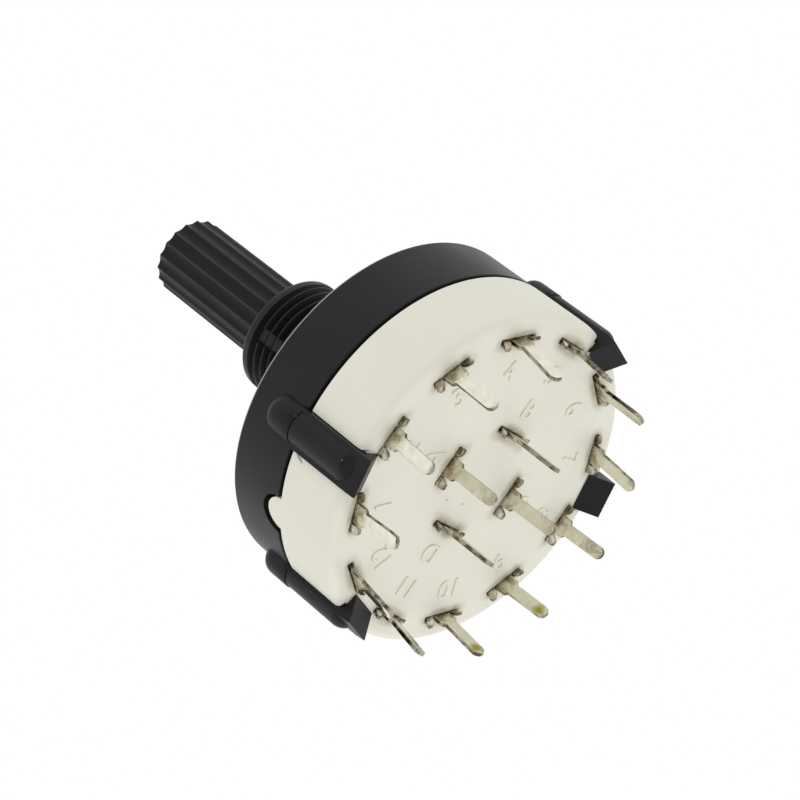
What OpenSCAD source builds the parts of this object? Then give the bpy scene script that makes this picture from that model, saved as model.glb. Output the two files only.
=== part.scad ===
// Rotary selector switch, four poles and three ways, with a threaded neck and solder terminals.
// The origin is on the shaft axis at the mounting face, and +Z runs along the shaft to the front.
// The terminals point down. Each outer terminal stands at a multiple of 30 degrees.

/* [Body] */
// Diameter of the housing and the base
body_d = 26; // [24:0.5:34]
// Depth from the mounting face to the rear face of the base
body_depth = 10.6; // [10:0.1:15]
// Depth of the housing from the mounting face to its rim
housing_h = 5; // [4.6:0.1:6]
// Thickness of the housing's front wall
front_wall = 2; // [1.8:0.1:2.4]
// Thickness of the housing's skirt
skirt_wall = 0.85; // [0.7:0.05:0.9]
// Step between the housing's rim and the base's edge
rim_gap = 0.25; // [0.1:0.05:0.5]
// Bevel on the front edge of the housing
front_edge = 0.15; // [0.05:0.05:0.4]

/* [Threaded neck] */
// Major diameter of the neck's thread
neck_d = 9; // [8.5:0.1:12]
// Length of the neck from the mounting face
neck_l = 10.4; // [5:0.1:16]
// Bevel at the end of the neck
neck_edge = 0.35; // [0.2:0.05:0.6]

/* [Shaft] */
// Diameter over the splines
shaft_d = 6; // [4.8:0.1:7.2]
// Reach of the shaft from the mounting face
shaft_reach = 22.7; // [18:0.1:40]
// Number of splines
spline_count = 18; // [12:1:24]
// Depth of each flute between two splines
flute_depth = 0.18; // [0.1:0.01:0.25]
// Radius of each flute
flute_r = 0.6; // [0.4:0.05:0.8]
// Length of the flutes that hides inside the neck
flute_run_in = 0.2; // [0.1:0.1:2]
// Bevel at the tip of the shaft
tip_edge = 0.3; // [0.1:0.05:0.6]
// Height of the rotor head inside the housing
head_h = 2.8; // [2.5:0.1:3]
// Space between the rotor head and the notched ring
head_space = 0.5; // [0.4:0.05:0.8]
// Width of the square hub that drives the contact carrier
hub_w = 4.4; // [3.6:0.1:4.8]
// Diameter of the pivot that runs in the base
pivot_d = 3; // [2:0.1:3.4]
// Length of the pivot
pivot_l = 1.1; // [0.6:0.1:1.4]

/* [Detent] */
// Diameter of the detent balls
ball_d = 2; // [1.6:0.1:2.3]
// Wall of the notched ring, outside its inner face
ring_wall = 2.6; // [2:0.1:3]
// Depth of the notches that the balls click into
notch_depth = 0.3; // [0.2:0.05:0.5]
// Extra radius of a notch over the ball
notch_ease = 0.1; // [0.05:0.05:0.2]
// Wire of the detent spring
spring_wire = 0.3; // [0.2:0.05:0.4]
// Turns of the detent spring
spring_turns = 8; // [5:1:9]

/* [Stops] */
// Turn to each side of the middle position
half_throw = 30; // [30:30:30]
// Half width of the stop lug on the rotor head, in degrees
lug_half = 12; // [8:1:16]
// Height of the stop lug
lug_h = 0.9; // [0.6:0.1:1.1]
// Length of the stop lug along the radius
lug_l = 2.2; // [1.5:0.1:2.4]
// Distance from the rim of the rotor head to the stop lug
lug_inset = 0.8; // [0.4:0.1:1]
// Play at each stop, in degrees
stop_play = 1; // [0.5:0.5:2]

/* [Base] */
// Wall between the side of the base and its inside
base_wall = 1.45; // [1.3:0.05:1.45]
// Thickness of the base's floor
floor_t = 2.2; // [1.8:0.1:2.6]
// Height of the lip that enters the housing, above the base's edge
lip_h = 1.35; // [0.8:0.05:1.6]
// Radius of the rounded rear edge
rear_r = 0.65; // [0.2:0.05:0.9]

/* [Snap arms and key] */
// Middle of one pair of arms, in degrees; the other pair is opposite
pair_mid = -44.2; // [-47:0.1:-43]
// Angle between the two arms of a pair
pair_angle = 60; // [58:1:62]
// Width of an arm at its root
arm_w = 2.86; // [2.3:0.02:3]
// How much narrower an arm is at its end
arm_taper = 0.26; // [0:0.02:0.4]
// How much narrower the hook is than the arm's end
hook_step = 0.1; // [0.04:0.02:0.3]
// Length of an arm's root inside the skirt
arm_root = 0.35; // [0.2:0.05:0.8]
// Depth of an arm's inner face below the side of the body
arm_inset = 0.5; // [0.4:0.05:0.65]
// Height of an arm's flat sides above the side of the body
arm_side = 0.3; // [0.1:0.05:0.5]
// Height of an arm's round back above the side of the body
arm_rise = 0.96; // [0.6:0.02:1.4]
// Distance from an arm's side to the side of its round back
back_inset = 0.01; // [0:0.01:0.1]
// Step where the back leaves the housing
back_step = 0.08; // [0.04:0.02:0.2]
// Distance from the mounting face to where the round back starts
back_start = 2.15; // [1.5:0.05:3]
// Rounding of the back's front end
back_front_r = 0.9; // [0.3:0.1:1.2]
// Rounding of the back's rear end
back_rear_r = 1.1; // [0.3:0.1:1.2]
// Depth of the bar's end behind the base's rear face
bar_end = 0.4; // [0.3:0.05:0.6]
// Reach of the hook over the rear face, from the side of the body
hook_reach = 1.55; // [1.2:0.05:1.7]
// Height of the hook's lip
lip_land = 0.15; // [0.05:0.05:0.3]
// Depth of the hook's end behind the base's rear face
hook_end = 1.25; // [0.9:0.05:1.5]
// Angle of the key between two arms, in degrees
key_angle = -45; // [-46:0.5:-43]
// Radius of the key notch in the housing's rim
key_r = 1.55; // [1.2:0.05:1.8]
// Clearance of the base's key in that notch
key_gap = 0.3; // [0.1:0.05:0.4]

/* [Terminals] */
// Distance from the side of the body to the outer terminals
terminal_inset = 1.85; // [1.85:0.05:2.4]
// Radius of the circle of common terminals
common_r = 3.9; // [3.7:0.1:4.2]
// Thickness of the terminal strip
strip_t = 0.4; // [0.3:0.05:0.45]
// Width of a terminal's blade
blade_w = 1.12; // [0.8:0.02:1.3]
// Reach of the outer blades behind the base
blade_l = 4.45; // [3:0.05:7]
// Reach of the common blades behind the base
common_l = 4.8; // [3:0.05:7]
// Width of a terminal's shoulder
shoulder_w = 1.55; // [1.35:0.05:1.7]
// Height of a terminal's shoulder
shoulder_h = 1.15; // [0.8:0.05:1.4]
// Half of the slope from the shoulder to the blade
shoulder_slope = 0.12; // [0.05:0.01:0.3]
// Width of a terminal in its slot
shank_w = 2.9; // [2.4:0.05:2.9]
// Slit between the shoulder and each locking ear
slit_w = 0.12; // [0.1:0.02:0.2]
// Depth of that slit into the base
slit_depth = 0.1; // [0.05:0.05:0.3]
// Reach of each locking ear beyond the slot
ear_reach = 0.2; // [0.05:0.05:0.25]
// Height of the locking ears
ear_h = 0.62; // [0.4:0.02:0.8]
// Width of an ear at its end
ear_w = 0.3; // [0.2:0.05:0.4]
// Length of an outer terminal's contact pad
pad_l = 2.4; // [2:0.1:2.8]
// Radial width of a common's contact track outside its strip
track_l = 2.3; // [2:0.1:2.5]
// Width of the track's inner edge inside its strip
track_edge = 0.15; // [0.1:0.05:0.3]
// Half of a common's contact track, in degrees
track_half = 37; // [34:1:40]

/* [Contact carrier and wipers] */
// Space between the carrier and the floor of the base
wiper_space = 0.95; // [0.9:0.05:1.2]
// Space between the carrier and the base's wall
carrier_space = 0.75; // [0.5:0.05:1]
// Width of a wiper
wiper_w = 1.8; // [1.2:0.1:2]
// Thickness of a wiper
wiper_t = 0.2; // [0.15:0.05:0.25]
// Depth of the carrier's pockets for the wipers
pocket_depth = 1; // [0.8:0.1:1.3]
// Flat length of a wiper's foot
foot_l = 0.3; // [0.2:0.05:0.5]
// Length and height of a foot's turned-up end
curl_l = 0.45; // [0.3:0.05:0.6]
curl_h = 0.4; // [0.2:0.05:0.5]
// Distance from a contact's edge to the middle of a foot
foot_inset = 1; // [0.8:0.05:1.1]
// Gap between a wiper's feet and the contacts
wiper_gap = 0.06; // [0.04:0.01:0.1]

/* [Clearances] */
// Radial clearance of the shaft in its two bearings
run_gap = 0.04; // [0.02:0.01:0.08]
// Clearance of pieces that slide together at assembly
fit_gap = 0.05; // [0.03:0.01:0.08]
// Clearance of turning faces inside
turn_gap = 0.1; // [0.08:0.01:0.2]
// Clearance between fixed faces inside that don't touch
free_gap = 0.25; // [0.15:0.05:0.3]

/* [Hidden] */
$fn = 96;
sliver = 0.01;
arc_step = 15;
terminal_count = 12;
pole_count = 4;
terminal_angle = 360 / terminal_count;
pole_angle = 360 / pole_count;
pole_names = ["a", "b", "c", "d"];
arm_angles = [for (side = [0, 180]) for (half = [-1, 1]) pair_mid + side + half * pair_angle / 2];

// Radii, from the outside in
body_r = body_d / 2;
skirt_in_r = body_r - skirt_wall;
lip_out_r = skirt_in_r - fit_gap;
lip_in_r = body_r - base_wall;
carrier_r = lip_in_r - carrier_space;
ring_out_r = lip_in_r - free_gap;
ring_in_r = ring_out_r - ring_wall;
head_r = ring_in_r - head_space;
lug_out_r = head_r - lug_inset;
lug_in_r = lug_out_r - lug_l;
neck_r = neck_d / 2;
shaft_r = shaft_d / 2;
bore_r = shaft_r + run_gap;
ball_r = ball_d / 2;
ball_at = ring_in_r - fit_gap - ball_r;
notch_r = ball_r + notch_ease;
notch_at = ring_in_r + notch_depth - notch_r;

// Heights, from the mounting face down
wall_z = -front_wall;
head_top = wall_z - turn_gap;
head_bottom = head_top - head_h;
ball_z = (head_top + head_bottom) / 2;
ring_bottom = head_bottom + turn_gap + fit_gap;
base_z = -housing_h - rim_gap;
rear_z = -body_depth;
floor_z = rear_z + floor_t;
carrier_bottom = floor_z + wiper_space;

// Snap arms
arm_in = body_r - arm_inset;
arm_out = body_r + arm_side;
arm_top = arm_root - housing_h;
arm_end_w = arm_w - arm_taper;
arm_back_r = arm_w / 2 - back_inset;
back_at = body_r + arm_rise - arm_back_r;
catch_z = rear_z - fit_gap;
bar_z = rear_z - bar_end;
hook_z = rear_z - hook_end;
hook_in = body_r - hook_reach;
hook_w = arm_end_w - hook_step;

// Terminals and wipers
terminal_r = body_r - terminal_inset;
pad_in = terminal_r - pad_l;
pad_z = floor_z - strip_t;
slot_t = strip_t + 2 * fit_gap;
slot_w = shank_w + 2 * fit_gap;
track_in = common_r - strip_t / 2 - track_edge;
track_out = common_r + track_l;
outer_foot = pad_in + foot_inset;
inner_foot = track_out - foot_inset;

// A ring between two radii and two heights
module ring(r_in, r_out, z_low, z_high) {
    translate([0, 0, z_low])
        difference() {
            cylinder(h = z_high - z_low, r = r_out);
            translate([0, 0, -1])
                cylinder(h = z_high - z_low + 2, r = r_in);
        }
}

// A part of a ring, to both sides of the X axis
module sector(r_in, r_out, half, z_low, z_high) {
    rotate([0, 0, -half])
        rotate_extrude(angle = 2 * half)
            polygon([[r_in, z_low], [r_out, z_low], [r_out, z_high], [r_in, z_high]]);
}

// A block between two distances along X and two heights, as wide as w
module block(x_in, x_out, w, z_low, z_high) {
    translate([x_in, -w / 2, z_low])
        cube([x_out - x_in, w, z_high - z_low]);
}

// A round bar that points along X
module cross_bar(x_in, x_out, z, r) {
    translate([x_in, 0, z])
        rotate([0, 90, 0])
            cylinder(h = x_out - x_in, r = r);
}

// A profile in the plane of the axis, made as wide as w across the X axis
module radial_plate(points, w) {
    translate([0, w / 2, 0])
        rotate([90, 0, 0])
            linear_extrude(w)
                polygon(points);
}

// A profile across the X axis, made as thick as t along it
module cross_plate(x_in, t) {
    translate([x_in, 0, 0])
        rotate([90, 0, 90])
            linear_extrude(t)
                children();
}

// Flat bar of an arm, tapered to its end, with a clearance on both sides
module arm_bar(x_in, x_out, gap) {
    top = arm_w / 2 + gap;
    end = arm_end_w / 2 + gap;
    cross_plate(x_in, x_out - x_in)
        polygon([[-top, arm_top], [top, arm_top], [end, bar_z], [-end, bar_z]]);
}

// Round back of an arm: a round bar with a rounded top and bottom, each rounding as large as the bar allows
module round_back(r, z_top, z_low, top_size, low_size) {
    top_round = min(top_size, r - sliver);
    low_round = min(low_size, r - sliver);
    translate([back_at, 0, 0])
        rotate_extrude($fn = 64)
            polygon(concat(
                [[0, z_low]],
                [for (a = [0:arc_step:90])
                    [r - low_round * (1 - sin(a)), z_low + low_round * (1 - cos(a))]],
                [for (a = [90:-arc_step:0])
                    [r - top_round * (1 - sin(a)), z_top - top_round * (1 - cos(a))]],
                [[0, z_top]]
            ));
}

// One snap arm at the X axis: a flat bar with a hook, and a round back that steps down on the arm
module snap_arm() {
    crease_z = -housing_h + back_step;
    hook_back = arm_out - back_step;
    arm_bar(arm_in, arm_out, 0);
    radial_plate([
        [arm_in + back_step, catch_z], [hook_in, catch_z], [hook_in, catch_z - lip_land],
        [hook_back - back_step, hook_z], [hook_back, rear_z + bar_end], [arm_in + back_step, rear_z + bar_end]
    ], hook_w);
    intersection() {
        union() {
            round_back(arm_back_r, -back_start, crease_z, back_front_r, sliver);
            round_back(arm_back_r - back_step, crease_z + back_step, bar_z, sliver, back_rear_r);
        }
        block(arm_in + fit_gap, arm_out + arm_rise, 2 * arm_w, hook_z, 0);
    }
}

// Detent ring: one notch for each step of the balls
module notched_ring() {
    difference() {
        ring(ring_in_r, ring_out_r, ring_bottom, wall_z + sliver);
        for (k = [0:terminal_count - 1])
            rotate([0, 0, k * terminal_angle])
                translate([notch_at, 0, ring_bottom - 1])
                    cylinder(h = head_h + 2, r = notch_r);
    }
}

// Housing: mounting face, neck, skirt, notched ring and snap arms
module housing() {
    color("#2f2f31")
        difference() {
            union() {
                rotate_extrude()
                    polygon([
                        [bore_r, neck_l], [neck_r - neck_edge, neck_l], [neck_r, neck_l - neck_edge],
                        [neck_r, 0], [body_r - front_edge, 0], [body_r, -front_edge],
                        [body_r, -housing_h], [skirt_in_r, -housing_h], [skirt_in_r, wall_z],
                        [bore_r, wall_z]
                    ]);
                notched_ring();
                for (a = arm_angles)
                    rotate([0, 0, a])
                        snap_arm();
            }
            // stop pocket in the front wall
            sector(lug_in_r - turn_gap, lug_out_r + turn_gap, lug_half + half_throw + stop_play,
                wall_z - sliver, wall_z + lug_h);
            // key notch in the rim
            rotate([0, 0, key_angle])
                cross_bar(skirt_in_r - 1, body_r + 1, -housing_h, key_r);
        }
}

// Slot and pad recess of an outer terminal
module terminal_cut() {
    slot_in = terminal_r - slot_t / 2;
    block(slot_in, slot_in + slot_t, slot_w, rear_z - 1, floor_z + sliver);
    block(pad_in - fit_gap, terminal_r, slot_w, pad_z, floor_z + sliver);
}

// Slot and track recess of a common terminal
module common_cut() {
    slot_in = common_r - slot_t / 2;
    block(slot_in, slot_in + slot_t, slot_w, rear_z - 1, pad_z + strip_t / 2);
    sector(track_in - fit_gap, track_out + fit_gap, track_half + stop_play, pad_z, floor_z + sliver);
}

// Base: cup with a lip and a key, grooves for the arms and slots for the terminals
module base() {
    color("#deddca")
        difference() {
            union() {
                rotate_extrude()
                    polygon(concat(
                        [[0, rear_z]],
                        [for (a = [0:arc_step:90])
                            [body_r - rear_r * (1 - sin(a)), rear_z + rear_r * (1 - cos(a))]],
                        [
                            [body_r, base_z], [lip_out_r, base_z], [lip_out_r, base_z + lip_h],
                            [lip_in_r, base_z + lip_h], [lip_in_r, floor_z], [0, floor_z]
                        ]
                    ));
                intersection() {
                    rotate([0, 0, key_angle])
                        cross_bar(lip_in_r + free_gap, body_r + 1, base_z, key_r - key_gap);
                    ring(lip_in_r, body_r, base_z - key_r, base_z + key_r);
                }
            }
            for (a = arm_angles)
                rotate([0, 0, a])
                    arm_bar(arm_in - fit_gap, body_r + 1, fit_gap);
            for (a = arm_angles)
                rotate([0, 0, a])
                    block(arm_in - fit_gap, body_r + 1, arm_end_w + 2 * fit_gap, rear_z - 1, rear_z + bar_end);
            for (k = [0:terminal_count - 1])
                rotate([0, 0, k * terminal_angle])
                    terminal_cut();
            for (k = [0:pole_count - 1])
                rotate([0, 0, k * pole_angle])
                    common_cut();
            translate([0, 0, floor_z - pivot_l - turn_gap])
                cylinder(h = pivot_l + 1, r = pivot_d / 2 + run_gap);
        }
}

// Shaft: splined end, journal, rotor head with the ball bore, square hub and pivot
module shaft() {
    hub_z = floor_z + turn_gap;
    color("#333335")
        difference() {
            union() {
                rotate_extrude()
                    polygon([
                        [0, shaft_reach], [shaft_r - tip_edge, shaft_reach],
                        [shaft_r, shaft_reach - tip_edge], [shaft_r, head_top],
                        [head_r, head_top], [head_r, head_bottom], [0, head_bottom]
                    ]);
                sector(lug_in_r, lug_out_r, lug_half, head_top - sliver, wall_z + lug_h - turn_gap);
                block(-hub_w / 2, hub_w / 2, hub_w, hub_z, head_bottom + sliver);
                translate([0, 0, floor_z - pivot_l])
                    cylinder(h = hub_z + sliver - floor_z + pivot_l, r = pivot_d / 2);
            }
            for (k = [0:spline_count - 1])
                rotate([0, 0, (k + 0.5) * 360 / spline_count])
                    translate([shaft_r - flute_depth + flute_r, 0, neck_l - flute_run_in])
                        cylinder(h = shaft_reach, r = flute_r, $fn = 32);
            cross_bar(-head_r - 1, head_r + 1, ball_z, ball_r + fit_gap);
        }
}

// Contact carrier: disc on the square hub with a pocket for each wiper
module contact_carrier() {
    hole_w = hub_w + 2 * fit_gap;
    pocket_end = foot_l / 2 + curl_l + free_gap;
    color("#e9e7dd")
        difference() {
            translate([0, 0, carrier_bottom])
                cylinder(h = head_bottom - carrier_bottom, r = carrier_r);
            block(-hole_w / 2, hole_w / 2, hole_w, carrier_bottom - 1, head_bottom + 1);
            for (k = [0:pole_count - 1])
                rotate([0, 0, k * pole_angle])
                    block(inner_foot - pocket_end, outer_foot + pocket_end, wiper_w + 2 * fit_gap,
                        carrier_bottom - 1, carrier_bottom + pocket_depth);
        }
}

// Wiper k: a bowed strip with two turned-up feet
module wiper(k) {
    foot = floor_z + wiper_gap;
    top = carrier_bottom + pocket_depth - fit_gap - wiper_t;
    half = (outer_foot - inner_foot) / 2;
    rising = [
        [-half - foot_l / 2 - curl_l, foot + curl_h], [-half - foot_l / 2, foot],
        [-half + foot_l / 2, foot], [-half / 2, top - wiper_t], [-half / 4, top]
    ];
    count = len(rising);
    path = concat(rising, [for (i = [count - 1:-1:0]) [-rising[i][0], rising[i][1]]]);
    upper = [for (i = [2 * count - 1:-1:0]) path[i] + [0, wiper_t]];
    color("#b98b4e")
        rotate([0, 0, k * pole_angle])
            translate([(outer_foot + inner_foot) / 2, 0, 0])
                radial_plate(concat(path, upper), wiper_w);
}

// One steel ball, at the +X side or the -X side of the rotor head
module detent_ball(side) {
    color("#c4c6c8")
        translate([side * ball_at, 0, ball_z])
            sphere(r = ball_r);
}

// Detent spring: a helix of round wire between the two balls
module detent_spring() {
    wire_r = spring_wire / 2;
    coil_r = ball_r - wire_r - turn_gap;
    half = ball_at - sqrt(pow(ball_r + wire_r + fit_gap, 2) - pow(coil_r, 2));
    steps = 12;
    sides = 6;
    last = spring_turns * steps;
    points = [for (i = [0:last]) for (j = [0:sides - 1])
        let (turn = 360 * i / steps, a = 360 * j / sides, r = coil_r + wire_r * cos(a))
        [half * (2 * i / last - 1) + wire_r * sin(a), r * cos(turn), r * sin(turn)]];
    walls = [for (i = [0:last - 1]) for (j = [0:sides - 1])
        let (n = (j + 1) % sides, a = i * sides, b = a + sides)
        for (face = [[a + j, b + j, b + n], [a + j, b + n, a + n]]) face];
    start_cap = [for (j = [0:sides - 1]) j];
    end_cap = [for (j = [sides - 1:-1:0]) last * sides + j];
    color("#a9abad")
        translate([0, 0, ball_z])
            polyhedron(points, concat(walls, [start_cap, end_cap]));
}

// The strip of a terminal at radius r on the X axis: shank, locking ears, shoulder and round-ended blade
module strip(r, reach, top) {
    blade = blade_w / 2;
    shoulder = shoulder_w / 2;
    ear = shank_w / 2 + ear_reach;
    slit_z = rear_z + slit_depth;
    tip_z = rear_z - reach;
    side = [
        [shank_w / 2, top], [shank_w / 2, rear_z], [ear, rear_z - ear_h + ear_reach],
        [ear, rear_z - ear_h], [ear - ear_w, rear_z - ear_h],
        [shoulder + slit_w, rear_z - slit_depth], [shoulder + slit_w, slit_z], [shoulder, slit_z],
        [shoulder, rear_z - shoulder_h + shoulder_slope], [blade, rear_z - shoulder_h - shoulder_slope]
    ];
    tip = [for (a = [0:arc_step:180]) [blade * cos(a), tip_z + blade * (1 - sin(a))]];
    mirrored = [for (i = [len(side) - 1:-1:0]) [-side[i][0], side[i][1]]];
    cross_plate(r - strip_t / 2, strip_t)
        polygon(concat(side, tip, mirrored));
}

// Outer terminal n: a strip through the base and a contact pad bent inwards
module terminal(n) {
    color("#cfccbf")
        rotate([0, 0, (n - 2) * terminal_angle]) {
            strip(terminal_r, blade_l, floor_z);
            block(pad_in, terminal_r, shank_w, pad_z, floor_z);
        }
}

// Common terminal k: a strip through the base and a curved contact track bent outwards
module common(k) {
    color("#c9c4b2")
        rotate([0, 0, k * pole_angle]) {
            strip(common_r, common_l, pad_z + strip_t / 2);
            sector(track_in, track_out, track_half, pad_z, floor_z);
        }
}

housing();
base();
shaft();
contact_carrier();
detent_ball(1);  // detent_ball_1
detent_ball(-1);  // detent_ball_2
detent_spring();
for (k = [0:pole_count - 1]) {
    wiper(k);
    common(k);
}
for (n = [1:terminal_count]) {
    terminal(n);
}
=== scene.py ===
# Rotary selector switch, four poles and three ways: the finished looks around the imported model.
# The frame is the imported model's: the origin is on the shaft axis at the mounting face, +Z runs along
# the shaft to its tip, and the terminals point down. The object's sizes are in millimetres until they
# meet Blender, and the studio's are in metres.
import math

import bmesh
import bpy
from mathutils import Matrix, Vector


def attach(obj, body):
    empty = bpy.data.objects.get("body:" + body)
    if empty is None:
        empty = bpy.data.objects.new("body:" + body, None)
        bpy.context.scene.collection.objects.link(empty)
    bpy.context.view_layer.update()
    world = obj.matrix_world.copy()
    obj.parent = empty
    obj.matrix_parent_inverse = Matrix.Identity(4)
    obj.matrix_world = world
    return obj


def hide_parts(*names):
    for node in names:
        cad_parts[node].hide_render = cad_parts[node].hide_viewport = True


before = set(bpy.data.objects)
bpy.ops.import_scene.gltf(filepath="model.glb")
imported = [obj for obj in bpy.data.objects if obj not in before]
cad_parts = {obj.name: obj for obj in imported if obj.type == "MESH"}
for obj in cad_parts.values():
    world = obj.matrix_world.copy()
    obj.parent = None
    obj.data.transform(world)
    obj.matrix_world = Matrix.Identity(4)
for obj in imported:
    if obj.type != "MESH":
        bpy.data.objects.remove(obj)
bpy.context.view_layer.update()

# Housing shell.
# One moulding of black PBT: the mounting disc, the threaded neck around the bore, the skirt that takes
# the base's lip, and inside it the stop pocket and the notched ring that the detent balls click into.
MM = 0.001
ROUND = 192
# how close counts as there, as one point, and as one point after a cut
NEAR, MERGE, FINE = 0.01, 0.002, 0.001
# how far tools reach past what they cut, and how far joined parts overlap
PAST, LAP = 1.0, 0.3
BODY_R, SKIRT_R, HOUSING_H, WALL = 13.0, 12.15, 5.0, 2.0
NECK_R, NECK_L, BORE_R = 4.5, 10.4, 3.04
COLLAR_Z, COLLAR_SLOPE, COLLAR_GAP = 9.65, 0.3, 0.12
THREAD_PITCH, THREAD_DEPTH, THREAD_START, THREAD_TURNS, THREAD_STEPS = 0.75, 0.4, 0.5, 14, 96
PARTING_AT, PARTING_HALF, PARTING_PROUD = -11.25, 7.25, 0.04
RING_IN, RING_OUT, RING_LOW = 8.7, 11.3, -4.75
NOTCH_AT, NOTCH_R = 7.9, 1.1
POCKET_IN, POCKET_OUT, POCKET_TOP, POCKET_HALF = 5.1, 7.5, -1.1, 43
KEY_ANGLE, KEY_R, KEY_IN, KEY_MOUTH = -45.0, 1.55, 11.55, 0.12
TWELFTHS = [30 * k for k in range(12)]


def alone(piece):
    """Leaves this piece selected and active, in object mode."""
    if bpy.context.object and bpy.context.object.mode != "OBJECT":
        bpy.ops.object.mode_set(mode="OBJECT")
    bpy.ops.object.select_all(action="DESELECT")
    piece.select_set(True)
    bpy.context.view_layer.objects.active = piece
    return piece


def begin(name):
    """Names the primitive just added and opens it in edit mode."""
    piece = alone(bpy.context.object)
    piece.name = piece.data.name = name
    bpy.ops.object.mode_set(mode="EDIT")
    return piece


def pick(kind, test):
    """Selects the open mesh's vertices, edges or faces whose corners, in millimetres, all pass the test."""
    bpy.ops.mesh.select_mode(type=kind)
    bpy.ops.mesh.select_all(action="DESELECT")
    mesh = bmesh.from_edit_mesh(bpy.context.object.data)
    for part in {"VERT": mesh.verts, "EDGE": mesh.edges, "FACE": mesh.faces}[kind]:
        corners = [part] if kind == "VERT" else part.verts
        if all(test(v.co / MM) for v in corners):
            part.select_set(True)
    bmesh.update_edit_mesh(bpy.context.object.data)


def circle(r, z):
    """A test for what lies on the circle of that radius and height around the shaft axis."""
    return lambda p: abs(math.hypot(p.x, p.y) - r) < NEAR and abs(p.z - z) < NEAR


def move(x=0.0, y=0.0, z=0.0):
    """Moves the selection, in millimetres."""
    bpy.ops.transform.translate(value=(x * MM, y * MM, z * MM))


def grow(x=0.0, y=0.0, z=0.0):
    """Extrudes the selection, in millimetres."""
    bpy.ops.mesh.extrude_region_move(TRANSFORM_OT_translate={"value": (x * MM, y * MM, z * MM)})


def bevel(width, segments):
    """Rounds the selected edges."""
    bpy.ops.mesh.bevel(offset=width * MM, segments=segments, affect="EDGES", clamp_overlap=True)


def close_up():
    """Merges doubles, turns the faces outwards and leaves edit mode."""
    bpy.ops.mesh.select_mode(type="VERT")
    bpy.ops.mesh.select_all(action="SELECT")
    bpy.ops.mesh.remove_doubles(threshold=MERGE * MM)
    bpy.ops.mesh.normals_make_consistent(inside=False)
    bpy.ops.object.mode_set(mode="OBJECT")
    return bpy.context.object


def draw(name, outline, closed=True):
    """Draws an outline of (x, z) from one corner of a plane, and leaves it in edit mode."""
    bpy.ops.mesh.primitive_plane_add(size=MM)
    piece = begin(name)
    pick("VERT", lambda p: p.x > 0 or p.y > 0)
    bpy.ops.mesh.delete(type="VERT")
    bpy.ops.mesh.select_all(action="SELECT")
    last = outline[0]
    move(last[0] + 0.5, 0.5, last[1])
    for point in outline[1:] + outline[:1] * closed:
        grow(point[0] - last[0], 0, point[1] - last[1])
        last = point
    bpy.ops.mesh.select_all(action="SELECT")
    bpy.ops.mesh.remove_doubles(threshold=MERGE * MM)
    return piece


def turned(name, outline, closed=True, steps=ROUND):
    """A round piece: its half outline of (radius, height) spun about the shaft axis, left in edit mode."""
    piece = draw(name, outline, closed)
    bpy.ops.mesh.spin(steps=steps, angle=math.tau, center=(0, 0, 0), axis=(0, 0, 1))
    close_up()
    bpy.ops.object.mode_set(mode="EDIT")
    return piece


def plate(name, outline, width):
    """A plate: its outline in the plane of the axis, filled and extruded to both sides."""
    draw(name, outline)
    bpy.ops.mesh.edge_face_add()
    move(y=-width / 2)
    grow(y=width)
    return close_up()


def settle(piece, turn=0.0, to=(0.0, 0.0, 0.0)):
    """Moves a piece, turns it about the shaft axis, and puts its place in its mesh."""
    alone(piece)
    place = Matrix.Rotation(math.radians(turn), 4, "Z") @ Matrix.Translation(Vector(to) * MM)
    piece.matrix_world = place @ piece.matrix_world
    bpy.ops.object.transform_apply(location=True, rotation=True, scale=True)
    return piece


def sector(name, r_in, r_out, half, low, high):
    """A part of a ring, to both sides of the X axis. Spin turns clockwise, so it starts on the far side."""
    piece = draw(name, [(r_in, low), (r_out, low), (r_out, high), (r_in, high)])
    bpy.ops.mesh.edge_face_add()
    bpy.ops.object.mode_set(mode="OBJECT")
    settle(piece, turn=half)
    bpy.ops.object.mode_set(mode="EDIT")
    bpy.ops.mesh.select_all(action="SELECT")
    steps, angle = max(6, int(half)), math.radians(2 * half)
    bpy.ops.mesh.spin(steps=steps, angle=angle, center=(0, 0, 0), axis=(0, 0, 1))
    return close_up()


def rod(name, r, low, high, sides=64, lying=False):
    """A round bar upright between two heights, or lying along X, left in edit mode."""
    bpy.ops.mesh.primitive_cylinder_add(vertices=sides, radius=r * MM, depth=(high - low) * MM)
    bar = alone(bpy.context.object)
    middle = (low + high) / 2 * MM
    bar.rotation_euler.y = math.pi / 2 if lying else 0
    bar.location = (middle, 0, 0) if lying else (0, 0, middle)
    bpy.ops.object.transform_apply(location=True, rotation=True, scale=True)
    return begin(name)


def slab(name, low, high):
    """A block between two corners, left in edit mode."""
    bpy.ops.mesh.primitive_cube_add(size=1, location=[(a + b) / 2 * MM for a, b in zip(low, high)])
    block = alone(bpy.context.object)
    block.scale = [(b - a) * MM for a, b in zip(low, high)]
    bpy.ops.object.transform_apply(location=True, rotation=True, scale=True)
    return begin(name)


def copy_of(piece, name):
    """A copy with its own mesh."""
    alone(piece)
    bpy.ops.object.duplicate()
    other = bpy.context.object
    other.name = other.data.name = name
    return other


def gather(parts):
    """Joins pieces that don't touch into the first of them."""
    alone(parts[0])
    for part in parts[1:]:
        part.select_set(True)
    bpy.ops.object.join()
    return parts[0]


def around(piece, angles):
    """Copies a piece to each angle about the shaft axis, joins the copies and removes the piece."""
    ring_of = gather([settle(copy_of(piece, f"{piece.name}_{k}"), turn=a) for k, a in enumerate(angles)])
    bpy.data.objects.remove(piece)
    return ring_of


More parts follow.
